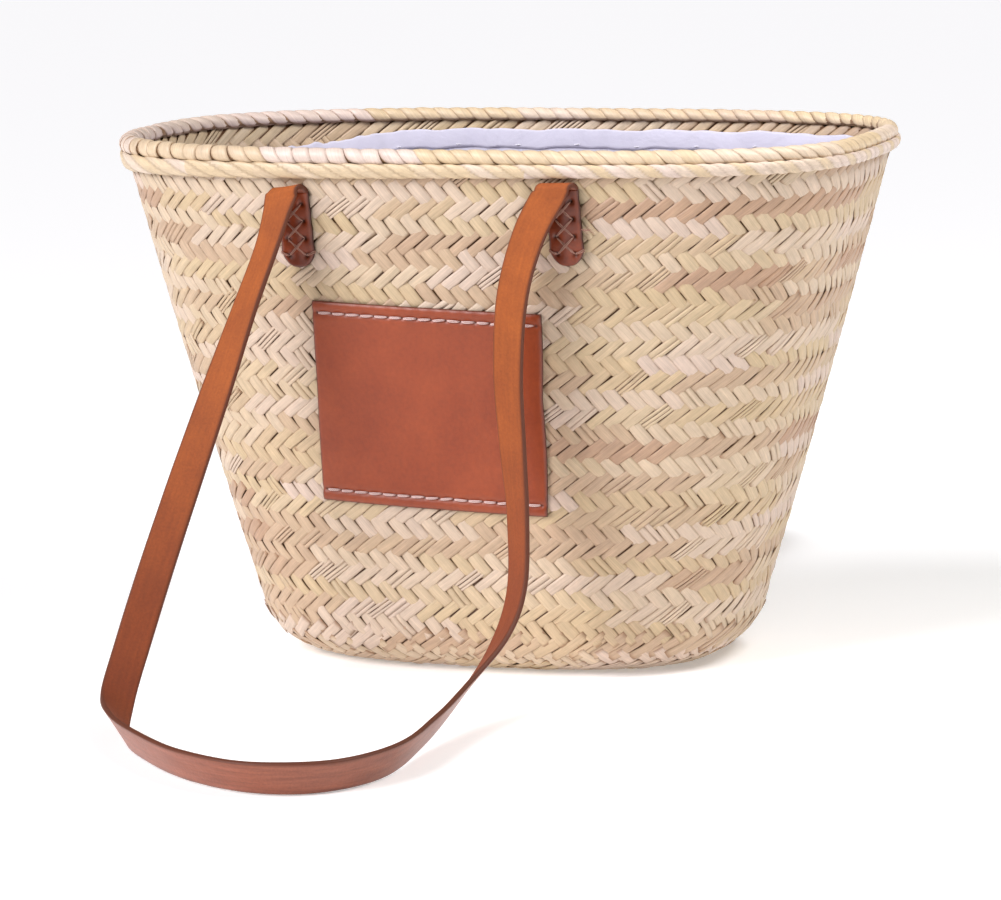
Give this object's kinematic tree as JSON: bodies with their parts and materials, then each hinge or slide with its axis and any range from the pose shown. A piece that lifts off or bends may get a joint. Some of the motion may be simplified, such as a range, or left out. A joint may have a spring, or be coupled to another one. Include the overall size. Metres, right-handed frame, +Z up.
{
  "type": "market basket",
  "caption": "Tapered oval basket of plaited palm leaf with a wrapped rim, a cotton liner, a leather patch and long leather shoulder straps that swing.",
  "frame": {"origin": "middle of the base, on the floor", "axes": "+Z up out of the mouth, +X to the right along the long side, -Y towards the front with the patch"},
  "size_m": [0.4802, 0.8288, 0.3242],
  "materials": {
    "palm_plait": "dry plaited palm leaf, cream to straw with pinkish tan strips",
    "palm_cord": "twisted palm cord, matt",
    "rush_core": "bundled rush, matt",
    "palm_wrap": "wrapped palm leaf, satin",
    "cotton": "plain-weave cotton, matt, pale lavender white",
    "thread": "waxed thread, pale lilac",
    "patch_leather": "smooth oiled leather, reddish brown",
    "tab_leather": "burnished leather, dark brown, glossy",
    "strap_leather": "smooth grain side, suede flesh side, dark edges",
    "lacing_thread": "waxed thread, tan pink"
  },
  "bodies": {
    "basket": {"base_plait": "palm_plait", "wall_course_1": "palm_plait", "wall_course_2": "palm_plait", "wall_course_3": "palm_plait", "wall_course_4": "palm_plait", "wall_course_5": "palm_plait", "wall_course_6": "palm_plait", "wall_course_7": "palm_plait", "wall_course_8": "palm_plait", "seam_cord_1": "palm_cord", "seam_cord_2": "palm_cord", "seam_cord_3": "palm_cord", "seam_cord_4": "palm_cord", "seam_cord_5": "palm_cord", "seam_cord_6": "palm_cord", "seam_cord_7": "palm_cord", "seam_cord_8": "palm_cord", "rim_core": "rush_core", "rim_wrap": "palm_wrap", "rim_under_cord": "palm_wrap", "liner_base": "cotton", "liner_wall": "cotton", "liner_hem": "cotton", "liner_stitches": "thread", "patch": "patch_leather", "patch_top_stitches": "thread", "patch_bottom_stitches": "thread", "front_left_tab": "tab_leather", "front_right_tab": "tab_leather", "rear_left_tab": "tab_leather", "rear_right_tab": "tab_leather", "front_left_lacing": "lacing_thread", "front_right_lacing": "lacing_thread", "rear_left_lacing": "lacing_thread", "rear_right_lacing": "lacing_thread"},
    "front_strap_loop": {"front_strap": "strap_leather"},
    "rear_strap_loop": {"rear_strap": "strap_leather"}
  },
  "joints": [
    {"name": "front_strap_swing", "type": "hinge", "parent": "basket", "child": "front_strap_loop", "pos_m": [0, -0.13658, 0.29911], "axis": [-0.9996, 0.014, -0.0245], "range_deg": [0, 100]},
    {"name": "rear_strap_swing", "type": "hinge", "parent": "basket", "child": "rear_strap_loop", "pos_m": [0, 0.13658, 0.29911], "axis": [0.9996, 0.014, 0.0245], "range_deg": [0, 100]}
  ]
}
